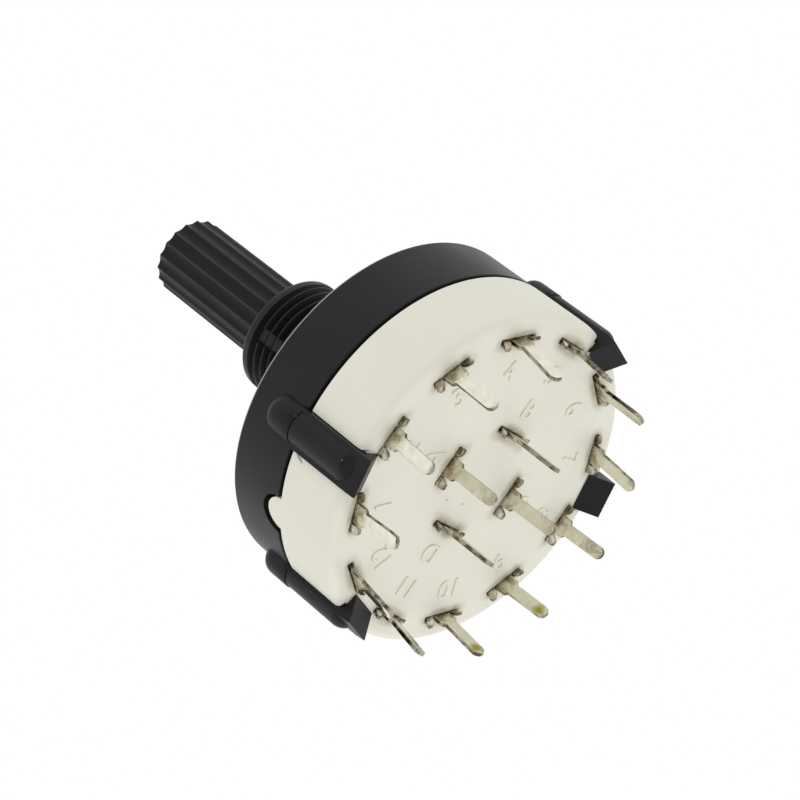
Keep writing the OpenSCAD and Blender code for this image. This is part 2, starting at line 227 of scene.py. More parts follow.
def flatten():
    """Makes one face of the open mesh's faces that lie in one plane, and merges doubles."""
    bpy.ops.mesh.select_mode(type="VERT")
    bpy.ops.mesh.select_all(action="SELECT")
    bpy.ops.mesh.remove_doubles(threshold=FINE * MM)
    bpy.ops.mesh.dissolve_degenerate(threshold=FINE / 2 * MM)
    bpy.ops.mesh.dissolve_limited(angle_limit=math.radians(0.1))


def carve(piece, tool, how="DIFFERENCE"):
    """Cuts the tool from a piece, joins it on or keeps what both fill, and removes the tool."""
    alone(piece)
    step = piece.modifiers.new("carve", "BOOLEAN")
    step.object, step.operation, step.solver = tool, how, "EXACT"
    bpy.ops.object.modifier_apply(modifier=step.name)
    bpy.data.objects.remove(tool)
    bpy.ops.object.mode_set(mode="EDIT")
    flatten()
    bpy.ops.object.mode_set(mode="OBJECT")
    return piece


def round_off(rims):
    """Rounds the open mesh's circular edges, each given by its radius, height, width and steps."""
    for radius, height, width, steps in rims:
        pick("EDGE", circle(radius, height))
        bevel(width, steps)


root = NECK_R - THREAD_DEPTH
housing = turned("housing_moulding", [
    (BORE_R, NECK_L), (NECK_R, NECK_L), (NECK_R, COLLAR_Z), (root, COLLAR_Z - COLLAR_SLOPE), (root, 0),
    (BODY_R, 0), (BODY_R, -HOUSING_H), (SKIRT_R, -HOUSING_H), (SKIRT_R, -WALL), (BORE_R, -WALL),
])
round_off([
    (BODY_R, 0, 0.32, 5), (BODY_R, -HOUSING_H, 0.1, 3), (SKIRT_R, -HOUSING_H, 0.08, 2),
    (NECK_R, NECK_L, 0.34, 4), (BORE_R, NECK_L, 0.12, 3),
])
close_up()

# the thread is one ridge wound up the neck, cut low where the two mould halves part. Its outline is the
# foot, which is sunk in the neck, the shoulder and the crest, each with half its width, and their mirror
ridge = [(root - 0.12, 0.37), (NECK_R - 0.05, 0.1), (NECK_R, 0.04)]
thread = draw("thread", [(r, -w) for r, w in ridge] + [(r, w) for r, w in reversed(ridge)])
bpy.ops.object.mode_set(mode="OBJECT")
winding = thread.modifiers.new("winding", "SCREW")
winding.axis, winding.angle, winding.screw_offset = "Z", math.tau, THREAD_PITCH * MM
winding.steps = winding.render_steps = THREAD_STEPS
winding.iterations = THREAD_TURNS
bpy.ops.object.modifier_apply(modifier=winding.name)
bpy.ops.object.mode_set(mode="EDIT")
bpy.ops.mesh.select_mode(type="EDGE")
bpy.ops.mesh.select_all(action="DESELECT")
bpy.ops.mesh.select_non_manifold()
bpy.ops.mesh.fill_holes(sides=0)
close_up()
rod("thread_span", NECK_R + PAST, THREAD_START, COLLAR_Z - COLLAR_GAP)
carve(thread, close_up(), "INTERSECT")
parting = sector("parting", root + PARTING_PROUD, NECK_R + PAST, PARTING_HALF, -PAST, NECK_L + PAST)
carve(thread, around(parting, [PARTING_AT, PARTING_AT + 180]))
carve(housing, thread, "UNION")

# inside, the notched ring and the pocket for the stop lug
ring_top = LAP - WALL
ring = turned("ring", [
    (RING_IN, ring_top), (RING_OUT, ring_top), (RING_OUT, RING_LOW), (RING_IN, RING_LOW),
])
close_up()
rod("notch", NOTCH_R, RING_LOW - PAST, 0, sides=48)
carve(ring, around(settle(close_up(), to=(NOTCH_AT, 0, 0)), TWELFTHS))
carve(housing, ring, "UNION")
carve(housing, sector("pocket", POCKET_IN, POCKET_OUT, POCKET_HALF, -WALL - LAP, POCKET_TOP))

# the key notch in the rim, well rounded on one side and nearly sharp on the other
rod("key_cut", KEY_R, KEY_IN, BODY_R + PAST, sides=48, lying=True)
carve(housing, settle(close_up(), to=(0, 0, -HOUSING_H), turn=KEY_ANGLE))
notch_way = Vector((math.cos(math.radians(KEY_ANGLE)), math.sin(math.radians(KEY_ANGLE)), 0))
bpy.ops.object.mode_set(mode="EDIT")
for side, width in ((1, 0.5), (-1, 0.14)):

    def at_mouth(p):
        across, up = p.cross(notch_way).z, p.z + HOUSING_H
        on_cut = abs(math.hypot(across, up) - KEY_R) < NEAR
        return on_cut and p.dot(notch_way) > KEY_IN and up < KEY_MOUTH and side * across > 0

    pick("EDGE", at_mouth)
    bevel(width, 5)
bpy.ops.object.mode_set(mode="OBJECT")

# Snap arms.
# Four arms grow from the skirt and hook over the base. Each is a flat bar with a round back that
# stands proud of the body, a fine crease where it leaves the rim, and a bevelled hook at its end.
ARM_ANGLES = (-74.2, -14.2, 105.8, 165.8)
ARM_IN, ARM_OUT, ARM_TOP, ARM_W, ARM_END_W = 12.5, 13.3, -4.65, 2.86, 2.78
BACK_AT, BACK_IN, BACK_R, BACK_STEP, BACK_START = 12.54, 12.55, 1.42, 0.08, -2.15
CREASE_Z, CREASE_ROUND, START_ROUND, END_ROUND = -4.92, 0.06, 0.95, 1.1
BAR_Z, HOOK_Z, HOOK_IN, CATCH_Z = -11.0, -11.85, 11.45, -10.65
HOOK_LIP, HOOK_EDGE, HOOK_ROUND = 0.08, 0.1, 0.05


def arm_bar(name, x_in, x_out, gap):
    """The tapered flat bar of an arm, or the groove for it with a gap to both sides, left in edit mode."""
    slab(name, (x_in, -ARM_W / 2 - gap, BAR_Z), (x_out, ARM_W / 2 + gap, ARM_TOP))
    pick("VERT", lambda p: p.z < BAR_Z + NEAR)
    narrower = (ARM_END_W / 2 + gap) / (ARM_W / 2 + gap)
    bpy.ops.transform.resize(value=(1, narrower, 1), center_override=(0, 0, BAR_Z * MM))


def outer_half(bar):
    """Keeps the part of an arm's round back that stands outside the bar's inner face."""
    half = BACK_R + PAST
    slab("outer_half", (BACK_IN, -half, HOOK_Z - PAST), (BACK_AT + half, half, 0))
    return carve(bar, close_up(), "INTERSECT")


arm_bar("arm", ARM_IN, ARM_OUT, 0)
arm = close_up()
rod("arm_front", BACK_R, CREASE_Z, BACK_START)
pick("EDGE", lambda p: p.z > BACK_START - NEAR)
bevel(START_ROUND, 8)
pick("EDGE", lambda p: p.z < CREASE_Z + NEAR)
bevel(CREASE_ROUND, 2)
carve(arm, outer_half(settle(close_up(), to=(BACK_AT, 0, 0))), "UNION")
rod("arm_back", BACK_R - BACK_STEP, BAR_Z, CREASE_Z + LAP)
pick("EDGE", lambda p: p.z < BAR_Z + NEAR)
bevel(END_ROUND, 8)
carve(arm, outer_half(settle(close_up(), to=(BACK_AT, 0, 0))), "UNION")
plate("hook", [
    (ARM_IN + HOOK_LIP, CATCH_Z), (HOOK_IN, CATCH_Z), (HOOK_IN, CATCH_Z - HOOK_LIP),
    (ARM_OUT - HOOK_EDGE, HOOK_Z), (ARM_OUT, BAR_Z), (ARM_OUT - HOOK_EDGE, BAR_Z + HOOK_EDGE),
    (ARM_IN + HOOK_LIP, BAR_Z + HOOK_EDGE),
], ARM_END_W)
bpy.ops.object.mode_set(mode="EDIT")
pick("EDGE", lambda p: p.z < HOOK_Z + NEAR)
bevel(HOOK_ROUND, 2)
carve(arm, close_up(), "UNION")
carve(housing, around(arm, ARM_ANGLES), "UNION")


def linear(colour):
    """An sRGB hex colour as linear RGBA."""
    parts = [int(colour[i:i + 2], 16) / 255 for i in (1, 3, 5)]
    return [p / 12.92 if p <= 0.04045 else ((p + 0.055) / 1.055) ** 2.4 for p in parts] + [1.0]


def node(tree, kind, settings=None, links=None):
    """Adds a shader node. Settings in small letters are its properties, and the rest are its sockets."""
    made = tree.nodes.new("ShaderNode" + kind)
    for key, value in (settings or {}).items():
        if isinstance(key, str) and key.islower():
            setattr(made, key, value)
        else:
            made.inputs[key].default_value = value
    for key, output in (links or {}).items():
        tree.links.new(output, made.inputs[key])
    return made


def blank_material(name, uniform):
    """A material of a shader alone, with its uniform values, and the coordinates that its patterns read."""
    material = bpy.data.materials.new(name)
    material.use_nodes = True
    tree = material.node_tree
    tree.nodes.clear()
    shader = node(tree, "BsdfPrincipled", uniform)
    node(tree, "OutputMaterial", links={0: shader.outputs[0]})
    return material, tree, shader, node(tree, "TexCoord").outputs["Object"]


def mottled(name, colour, shade, patch, roughness, grain, relief, uniform=None):
    """A material of two close colours in soft patches, with uneven gloss and a fine grain. Its patch,
    grain and relief are in millimetres."""
    material, tree, shader, coords = blank_material(name, uniform)
    patches = node(tree, "TexNoise", {"Scale": 1 / (patch * MM), "Detail": 3.0}, {"Vector": coords})
    patches = patches.outputs[0]
    tone = node(tree, "Mix", {"data_type": "RGBA", 6: linear(shade), 7: linear(colour)}, {0: patches})
    gloss = node(tree, "MapRange", {1: 0.3, 2: 0.7, 3: roughness - 0.05, 4: roughness + 0.05}, {0: patches})
    grains = node(tree, "TexNoise", {"Scale": 1 / (grain * MM), "Detail": 2.0}, {"Vector": coords})
    bump = node(tree, "Bump", {"Distance": relief * MM}, {"Height": grains.outputs[0]})
    tree.links.new(tone.outputs[2], shader.inputs["Base Color"])
    tree.links.new(gloss.outputs[0], shader.inputs["Roughness"])
    tree.links.new(bump.outputs[0], shader.inputs["Normal"])
    return material, tree, shader, coords, tone.outputs[2]


def from_axis(tree, coords):
    """How far each point is from the shaft axis, and its X, Y and Z."""
    flat = node(tree, "VectorMath", {"operation": "MULTIPLY", 1: (1, 1, 0)}, {0: coords}).outputs[0]
    far = node(tree, "VectorMath", {"operation": "LENGTH"}, {0: flat}).outputs["Value"]
    return far, node(tree, "SeparateXYZ", links={0: coords}).outputs


def spot(tree, coords, place, full, gone, most):
    """The most within one distance of a place, falling to zero at the other, in millimetres."""
    away = node(tree, "VectorMath", {"operation": "DISTANCE", 1: Vector(place) * MM}, {0: coords})
    fall = {1: full * MM, 2: gone * MM, 3: most, 4: 0.0}
    return node(tree, "MapRange", fall, {0: away.outputs["Value"]}).outputs[0]


def dress(piece, material, body, replaced, angle=35.0):
    """Shades a piece smooth up to that angle, gives it its material, attaches it to its body and hides the
    CAD node that it replaces.
    """
    alone(piece)
    piece.data.materials.clear()
    piece.data.materials.append(material)
    bpy.ops.object.shade_smooth_by_angle(angle=math.radians(angle))
    flats = piece.modifiers.new("flats", "WEIGHTED_NORMAL")
    flats.keep_sharp = True
    bpy.ops.object.modifier_apply(modifier=flats.name)
    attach(piece, body)
    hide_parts(replaced)


# Glass-filled PBT from a fine-sparked mould: a soft satin black, a little uneven in gloss, with the odd
# pale speck of dust or flash left on it, one of them on an arm.
black_pbt, tree, shader, coords, tone = mottled(
    "black_pbt_satin", "#131315", "#0e0e0f", 5.0, 0.42, 0.09, 0.004,
    {"IOR": 1.5, "Specular IOR Level": 0.26},
)
dust = node(tree, "TexNoise", {"Scale": 1 / (0.55 * MM), "Detail": 1.0}, {"Vector": coords}).outputs[0]
dust = node(tree, "MapRange", {1: 0.79, 2: 0.815, 3: 0.0, 4: 0.4}, {0: dust}).outputs[0]
speck = spot(tree, coords, (13.61, -2.81, -6.36), 0.03, 0.08, 0.6)
dust = node(tree, "Math", {"operation": "MAXIMUM"}, {0: dust, 1: speck}).outputs[0]
tone = node(tree, "Mix", {"data_type": "RGBA", 7: linear("#9a9a98")}, {0: dust, 6: tone}).outputs[2]
# the edge between the rim and the mounting face has a thin pale line painted on, a painted highlight, and
# is glossier there
HIGHLIGHT_IN, HIGHLIGHT_DOWN, HIGHLIGHT_SOFT = 0.1, 0.2, 0.06
far, xyz = from_axis(tree, coords)
rim = {1: (BODY_R - HIGHLIGHT_IN - HIGHLIGHT_SOFT) * MM, 2: (BODY_R - HIGHLIGHT_IN) * MM, 3: 0.0, 4: 1.0}
rim = node(tree, "MapRange", rim, {0: far}).outputs[0]
face = {1: -(HIGHLIGHT_DOWN + HIGHLIGHT_SOFT) * MM, 2: -HIGHLIGHT_DOWN * MM, 3: 0.0, 4: 1.0}
face = node(tree, "MapRange", face, {0: xyz[2]}).outputs[0]
painted_highlight = node(tree, "Math", {"operation": "MULTIPLY"}, {0: rim, 1: face}).outputs[0]
tone = node(tree, "Mix", {"data_type": "RGBA", 7: linear("#9c9d9f")}, {0: painted_highlight, 6: tone}).outputs[2]
gloss = shader.inputs["Roughness"].links[0].from_socket
gloss = node(tree, "Mix", {3: 0.15}, {0: painted_highlight, 2: gloss}).outputs[0]
tree.links.new(tone, shader.inputs["Base Color"])
tree.links.new(gloss, shader.inputs["Roughness"])
dress(housing, black_pbt, "stator", "housing")

# Base.
# A cream PBT cup that closes the back. Its lip enters the skirt, its key sits in the rim's notch, the
# arms lie in its grooves, and the rear wall has the slots and inside it the beds of the terminals.
BASE_Z, FLOOR_Z, REAR_Z, REAR_R = -5.25, -8.4, -10.6, 0.65
LIP_OUT, LIP_IN, LIP_H = 12.1, 11.55, 1.35
KEY_PLAY, KEY_TURN, KEY_SHY = 0.3, 1.1, 0.01
FIT, MOUTH_H = 0.05, 0.4
FLARE, FLARE_START, FLARE_END, FLARE_WITHIN = 0.3, 0.2, 0.32, 0.06
TERMINAL_R, COMMON_R, SLOT_T, SLOT_W, PAD_IN, PAD_Z = 11.15, 3.9, 0.42, 3.0, 8.75, -8.8
SLOT_SOFT, BED_SHY = 0.09, 0.001
TRACK_IN, TRACK_OUT, TRACK_HALF = 3.55, 6.2, 37
PIVOT_R, PIVOT_L, PIVOT_PLAY, PIVOT_ROOM = 1.5, 1.1, 0.04, 0.1
SIGN_SIZE, SIGN_H, WAYS_R, POLES_R = 2.15, 0.1, 8.7, 5.9
QUARTERS = [90 * k for k in range(4)]

base = turned("base_moulding", [
    (0, REAR_Z), (BODY_R, REAR_Z), (BODY_R, BASE_Z), (LIP_OUT, BASE_Z), (LIP_OUT, BASE_Z + LIP_H),
    (LIP_IN, BASE_Z + LIP_H), (LIP_IN, FLOOR_Z), (0, FLOOR_Z),
], closed=False)
round_off([(BODY_R, REAR_Z, REAR_R, 8), (BODY_R, BASE_Z, 0.1, 3), (LIP_OUT, BASE_Z + LIP_H, 0.12, 2)])
flatten()
close_up()
# the key starts in the lip's wall and ends just short of the rim, so that no faces coincide
rod("key", KEY_R - KEY_PLAY, (LIP_IN + LIP_OUT) / 2, BODY_R + PAST, sides=48, lying=True)
key = settle(close_up(), to=(0, 0, BASE_Z), turn=KEY_ANGLE + KEY_TURN)
rod("key_end", BODY_R - KEY_SHY, BASE_Z - 2 * KEY_R, BASE_Z + 2 * KEY_R, sides=ROUND)
carve(base, carve(key, close_up(), "INTERSECT"), "UNION")

# the arms' grooves, each flared where it runs out at the rear face
arm_bar("groove", ARM_IN - FIT, BODY_R + PAST, FIT)
groove = close_up()
narrow = ARM_END_W / 2 + FIT
wide = narrow + FLARE
slab("groove_mouth", (ARM_IN - FIT, -narrow, REAR_Z - PAST), (BODY_R + PAST, narrow, REAR_Z + MOUTH_H))
carve(groove, close_up(), "UNION")
slab("groove_flare", (ARM_IN - FIT - FLARE, -wide, REAR_Z - FLARE_START),
     (BODY_R + PAST, wide, REAR_Z + FLARE_END))
pick("VERT", lambda p: p.z > REAR_Z)
bpy.ops.transform.resize(value=(1, (narrow - FLARE_WITHIN) / wide, 1), center_override=(0, 0, 0))
pick("VERT", lambda p: p.z > REAR_Z and p.x < ARM_IN)
move(x=FLARE + FLARE_WITHIN)
carve(groove, close_up(), "UNION")
carve(base, around(groove, ARM_ANGLES))


def mouthed_slot(name, r):
    """A terminal's slot through the rear wall, with the soft edge that the mould leaves round its mouth."""
    half_t, half_w, soft = SLOT_T / 2, SLOT_W / 2, SLOT_SOFT
    slab(name, (r - half_t, -half_w, REAR_Z - PAST), (r + half_t, half_w, (PAD_Z + FLOOR_Z) / 2))
    slot = close_up()
    slab("mouth", (r - half_t - 2 * soft, -half_w - 2 * soft, REAR_Z - soft),
         (r + half_t + 2 * soft, half_w + 2 * soft, REAR_Z + 1.5 * soft))
    pick("VERT", lambda p: p.z > REAR_Z)
    bpy.ops.transform.resize(
        value=((SLOT_T - soft) / (SLOT_T + 4 * soft), (SLOT_W - soft) / (SLOT_W + 4 * soft), 1),
        center_override=(r * MM, 0, 0),
    )
    return carve(slot, close_up(), "UNION")


outer_cut = mouthed_slot("outer_cut", TERMINAL_R)
# a pad's bed is a hair narrower than its slot, so that no faces coincide
bed_half = SLOT_W / 2 - BED_SHY
slab("pad_bed", (PAD_IN - FIT, -bed_half, PAD_Z), (TERMINAL_R, bed_half, FLOOR_Z + PAST))
carve(outer_cut, close_up(), "UNION")
carve(base, around(outer_cut, TWELFTHS))
common_cut = mouthed_slot("common_cut", COMMON_R)
track_bed = sector("track_bed", TRACK_IN - FIT, TRACK_OUT + FIT, TRACK_HALF + 1, PAD_Z, FLOOR_Z + PAST)
carve(common_cut, track_bed, "UNION")
carve(base, around(common_cut, QUARTERS))
rod("pivot_hole", PIVOT_R + PIVOT_PLAY, FLOOR_Z - PIVOT_L - PIVOT_ROOM, 0)
carve(base, close_up())

# low raised figures number the ways and letter the poles
signs = []
ways = [(str(n + 1), 30 * (n - 1), WAYS_R) for n in range(12)]
poles = [(letter, 90 * k, POLES_R) for k, letter in enumerate("ABCD")]
for text, angle, r in ways + poles:
    bpy.ops.object.text_add()
    sign = alone(bpy.context.object)
    sign.data.body, sign.data.size, sign.data.extrude = text, SIGN_SIZE * MM, SIGN_H * MM
    sign.data.align_x, sign.data.align_y, sign.data.resolution_u = "CENTER", "CENTER", 4
    bpy.ops.object.convert(target="MESH")
    sign = begin(f"sign_{text}")
    close_up()
    sign.matrix_world = Matrix.Rotation(math.pi / 2, 4, "Z") @ Matrix.Rotation(math.pi, 4, "X")
    signs.append(settle(sign, to=(r, 0, REAR_Z), turn=angle))
carve(base, gather(signs), "UNION")


def round_slots(tree, coords, radius, step, out, across):
    """One where a terminal's slot is, falling to zero an ellipse away from it, round the whole circle."""
    far, xyz = from_axis(tree, coords)
    turn = node(tree, "Math", {"operation": "ARCTAN2"}, {0: xyz[1], 1: xyz[0]}).outputs[0]
    half = math.radians(step) / 2
    turn = node(tree, "Math", {"operation": "WRAP", 1: half, 2: -half}, {0: turn}).outputs[0]
    side = node(tree, "Math", {"operation": "MULTIPLY"}, {0: turn, 1: far}).outputs[0]
    side = node(tree, "Math", {"operation": "DIVIDE", 1: across * MM}, {0: side}).outputs[0]
    away = node(tree, "Math", {"operation": "SUBTRACT", 1: radius * MM}, {0: far}).outputs[0]
    away = node(tree, "Math", {"operation": "DIVIDE", 1: out * MM}, {0: away}).outputs[0]
    both = node(tree, "CombineXYZ", links={0: side, 1: away}).outputs[0]
    gone = node(tree, "VectorMath", {"operation": "LENGTH"}, {0: both}).outputs["Value"]
    return node(tree, "MapRange", {1: 0.55, 2: 1.15, 3: 1.0, 4: 0.0}, {0: gone}).outputs[0]


# Unfilled cream PBT: a warm off-white with a low sheen. Round the slots is a faint brown-grey bloom,
# partly a stain from handling and flux and partly painted shade where the terminals shadow the face,
# and there are a few small dark specks and one short scuff beside an arm.
cream_pbt, tree, shader, coords, tone = mottled(
    "cream_pbt", "#e5e4d6", "#dfded0", 4.0, 0.5, 0.12, 0.003, {"Specular IOR Level": 0.4},
)
cloud = node(tree, "TexNoise", {"Scale": 1 / (0.8 * MM), "Detail": 4.0}, {"Vector": coords}).outputs[0]
cloud = node(tree, "MapRange", {1: 0.35, 2: 0.65, 3: 0.35, 4: 0.8}, {0: cloud}).outputs[0]
# round each slot: partly a stain, partly painted shade cast by the terminal
for radius, step in ((TERMINAL_R, 30), (COMMON_R, 90)):
    flux_stain_and_shade = round_slots(tree, coords, radius, step, out=0.78, across=2.1)
    flux_stain_and_shade = node(tree, "Math", {"operation": "MULTIPLY"}, {0: flux_stain_and_shade, 1: cloud}).outputs[0]
    tone = node(tree, "Mix", {"data_type": "RGBA", 7: linear("#988d70")}, {0: flux_stain_and_shade, 6: tone}).outputs[2]
for place, size in (
    ((0.1, -1.9, REAR_Z), 0.13), ((1.9, -2.1, REAR_Z), 0.12), ((-7.7, -4.2, REAR_Z), 0.12),
    ((12.1, -4.72, -5.75), 0.16), ((12.08, -4.79, -5.92), 0.2), ((12.05, -4.86, -6.1), 0.2),
    ((12.02, -4.93, -6.28), 0.16),
):
    speck = spot(tree, coords, place, 0.3 * size, size, 0.6)
    tone = node(tree, "Mix", {"data_type": "RGBA", 7: linear("#55524a")}, {0: speck, 6: tone}).outputs[2]
tree.links.new(tone, shader.inputs["Base Color"])
dress(base, cream_pbt, "stator", "base")

# Outer terminals.
# Twelve stampings of tinned brass strip. Each is pushed through the base from inside, its ears are
# spread over the rear face to lock it, and its pad lies inside under the wiper. Handling has bent them.
STRIP_T, SHANK_W, SHOULDER_W, BLADE_W, SLIT_W = 0.32, 2.9, 1.46, 0.95, 0.12
SHOULDER_H, SHOULDER_SLOPE = 0.92, 0.1
BLADE_L, COMMON_L = 4.45, 4.8
BLADE_TOP = REAR_Z - SHOULDER_H - SHOULDER_SLOPE
BLADE_STEPS, TIP_ANGLES = 5, (0, 16, 32, 48, 64, 79)
EAR_START, EAR_THINNER = 0.1, 0.98
# an ear grows in five steps: how far it spreads, how far it curls out of the strip's plane, how far down
# it reaches, and its width as a share of the last
EAR_STEPS = (
    (0.02, 0.0, 0.14, 1.06), (0.05, 0.04, 0.15, 1.08), (0.05, 0.07, 0.14, 0.98), (0.04, 0.08, 0.12, 0.82),
    (0.01, 0.06, 0.1, 0.56),
)
STAMPED_EDGE = 0.045
CURL_STEPS, CURL_OUT, CURL_UP = (0.5, 0.34, 0.18), 0.07, 0.03
# how far each blade's tip leans away from the shaft axis, and to the side round it, from terminal 1 on
LEANS = (
    (-0.1, 0.1), (0.25, -0.1), (-0.1, -0.05), (-0.5, -0.1), (-0.3, -0.3), (0.05, 0.2), (-0.15, 0.2),
    (0.2, -0.05), (0.05, -0.1), (0.35, -0.05), (0.4, 0.25), (0.4, 0.2),
)


def strip(name, top, reach):
    """A terminal's strip at the axis, thin along X: shank, spread ears, shoulder and round-ended blade."""
    bpy.ops.mesh.primitive_plane_add(size=1, location=(0, 0, top * MM))
    sheet = alone(bpy.context.object)
    sheet.scale = (STRIP_T * MM, SHANK_W * MM, 1)
    bpy.ops.object.transform_apply(location=True, rotation=True, scale=True)
    begin(name)
    shoulder, ear_in, low = SHOULDER_W / 2, SHOULDER_W / 2 + SLIT_W, REAR_Z + EAR_START
    for y in (-ear_in, -shoulder, shoulder, ear_in):
        bpy.ops.mesh.select_all(action="SELECT")
        bpy.ops.mesh.bisect(plane_co=(0, y * MM, 0), plane_no=(0, 1, 0), threshold=FINE * MM)
    bpy.ops.mesh.select_all(action="SELECT")
    grow(z=PAD_Z - top)
    grow(z=low - PAD_Z)
    for side in (-1, 1):
        pick("FACE", lambda p: abs(p.z - low) < NEAR and side * p.y > ear_in - NEAR)
        at = side * (ear_in + SHANK_W / 2) / 2
        for out, curl, down, share in EAR_STEPS:
            grow(x=side * curl, y=side * out, z=-down)
            at += side * out
            bpy.ops.transform.resize(value=(EAR_THINNER, share, 1), center_override=(0, at * MM, 0))
    pick("FACE", lambda p: abs(p.z - low) < NEAR and abs(p.y) < shoulder + NEAR)
    grow(z=REAR_Z - SHOULDER_H + SHOULDER_SLOPE - low)
    grow(z=-2 * SHOULDER_SLOPE)
    bpy.ops.transform.resize(value=(1, BLADE_W / SHOULDER_W, 1), center_override=(0, 0, 0))
    round_r, tip = BLADE_W / 2, REAR_Z - reach
    for _ in range(BLADE_STEPS):
        grow(z=(tip + round_r - BLADE_TOP) / BLADE_STEPS)
    for a, b in zip(TIP_ANGLES, TIP_ANGLES[1:]):
        a, b = math.radians(a), math.radians(b)
        grow(z=round_r * (math.sin(a) - math.sin(b)))
        bpy.ops.transform.resize(value=(1, math.cos(b) / math.cos(a), 1), center_override=(0, 0, 0))


def finish_strip(piece):
    """Rounds the stamped edges of a terminal."""
    alone(piece)
    edges = piece.modifiers.new("edges", "BEVEL")
    edges.width, edges.segments = STAMPED_EDGE * MM, 2
    edges.limit_method, edges.angle_limit = "ANGLE", math.radians(40)
    bpy.ops.object.modifier_apply(modifier=edges.name)
    return piece


def bend(piece, out, side, reach):
    """Leans a blade outwards and sideways from its shoulder to its tip."""
    alone(piece)
    bpy.ops.object.mode_set(mode="EDIT")
    rise = (reach - SHOULDER_H - SHOULDER_SLOPE - BLADE_W / 2) / BLADE_STEPS
    for k in range(BLADE_STEPS):
        pick("VERT", lambda p: p.z < BLADE_TOP - (k + 0.5) * rise)
        move(x=out / BLADE_STEPS, y=side / BLADE_STEPS)
    bpy.ops.object.mode_set(mode="OBJECT")
    return piece


# Bright tin over brass: nearly white metal with a soft uneven gloss and faint ripples from the bath. The
# sheared edges are dull brown brass, darkened further by a painted dark reflection, the strip is patchily
# darker and browner near the base, and two tips have a green flux tint.
tin, tree, shader, coords = blank_material("bright_tin_plate", {"Metallic": 1.0})
patches = node(tree, "TexNoise", {"Scale": 1 / (0.7 * MM), "Detail": 5.0}, {"Vector": coords}).outputs[0]
tone = {"data_type": "RGBA", 6: linear("#d3cdb6"), 7: linear("#f3f2e5")}
tone = node(tree, "Mix", tone, {0: patches}).outputs[2]
height = node(tree, "SeparateXYZ", links={0: coords}).outputs[2]
foot = node(tree, "MapRange", {1: -12.0 * MM, 2: -11.1 * MM, 3: 0.0, 4: 1.0}, {0: height}).outputs[0]
# the strip is patchily darker and browner near the base
darker_foot = node(tree, "MapRange", {1: 0.42, 2: 0.58, 3: 0.0, 4: 0.75}, {0: patches}).outputs[0]
darker_foot = node(tree, "Math", {"operation": "MULTIPLY"}, {0: foot, 1: darker_foot}).outputs[0]
tone = node(tree, "Mix", {"data_type": "RGBA", 7: linear("#8a744a")}, {0: darker_foot, 6: tone}).outputs[2]
for place in ((-9.75, -5.6, -14.35), (-5.75, -9.95, -14.4)):
    flux = spot(tree, coords, place, 0.25, 0.6, 0.95)
    tone = node(tree, "Mix", {"data_type": "RGBA", 7: linear("#a3a02a")}, {0: flux, 6: tone}).outputs[2]
# faces that don't face outwards: brown brass of the sheared edges, and a painted dark reflection on edges
# and ear rims
outwards = node(tree, "VectorMath", {"operation": "MULTIPLY", 1: (1, 1, 0)}, {0: coords}).outputs[0]
outwards = node(tree, "VectorMath", {"operation": "NORMALIZE"}, {0: outwards}).outputs[0]
facing = node(tree, "TexCoord").outputs["Normal"]
facing = node(tree, "VectorMath", {"operation": "DOT_PRODUCT"}, {0: facing, 1: outwards}).outputs["Value"]
facing = node(tree, "Math", {"operation": "ABSOLUTE"}, {0: facing}).outputs[0]
brass_edge_and_dark_reflection = node(tree, "MapRange", {1: 0.5, 2: 0.75, 3: 1.0, 4: 0.0}, {0: facing}).outputs[0]
uneven = node(tree, "MapRange", {1: 0.4, 2: 0.6, 3: 0.4, 4: 0.95}, {0: patches}).outputs[0]
brass_edge_and_dark_reflection = node(tree, "Math", {"operation": "MULTIPLY"}, {0: brass_edge_and_dark_reflection, 1: uneven}).outputs[0]
tone = node(tree, "Mix", {"data_type": "RGBA", 7: linear("#5a4f38")}, {0: brass_edge_and_dark_reflection, 6: tone}).outputs[2]
gloss = node(tree, "MapRange", {1: 0.35, 2: 0.65, 3: 0.28, 4: 0.14}, {0: patches}).outputs[0]
ripple = node(tree, "TexNoise", {"Scale": 1 / (0.35 * MM), "Detail": 2.0}, {"Vector": coords}).outputs[0]
bump = node(tree, "Bump", {"Distance": 0.018 * MM}, {"Height": ripple}).outputs[0]
tree.links.new(tone, shader.inputs["Base Color"])
tree.links.new(gloss, shader.inputs["Roughness"])
tree.links.new(bump, shader.inputs["Normal"])

strip("outer_strip", FLOOR_Z, BLADE_L)
pick("FACE", lambda p: p.x < NEAR - STRIP_T / 2 and p.z > PAD_Z - NEAR)
grow(x=PAD_IN - TERMINAL_R + STRIP_T / 2)
outer = finish_strip(settle(close_up(), to=(TERMINAL_R, 0, 0)))
for n, (out, side) in enumerate(LEANS, 1):
    terminal = bend(copy_of(outer, f"outer_terminal_{n}"), out, side, BLADE_L)
    if n == 1:
        # this tip was caught and has curled outwards
        bpy.ops.object.mode_set(mode="EDIT")
        for rise in CURL_STEPS:
            pick("VERT", lambda p: p.z < REAR_Z - BLADE_L + rise)
            move(x=CURL_OUT, z=CURL_UP)
        bpy.ops.object.mode_set(mode="OBJECT")
    dress(settle(terminal, turn=(n - 2) * 30), tin, "stator", f"terminal_{n}")
bpy.data.objects.remove(outer)

# Common terminals.
# Four longer stampings of the same strip, one for each pole. Inside, each has a curved track that its
# wiper slides along.
# how far each blade's tip leans away from the shaft axis, and to the side round it
COMMON_LEANS = {"a": (0.1, 0.0), "b": (-0.05, 0.1), "c": (0.05, -0.05), "d": (0.0, 0.05)}

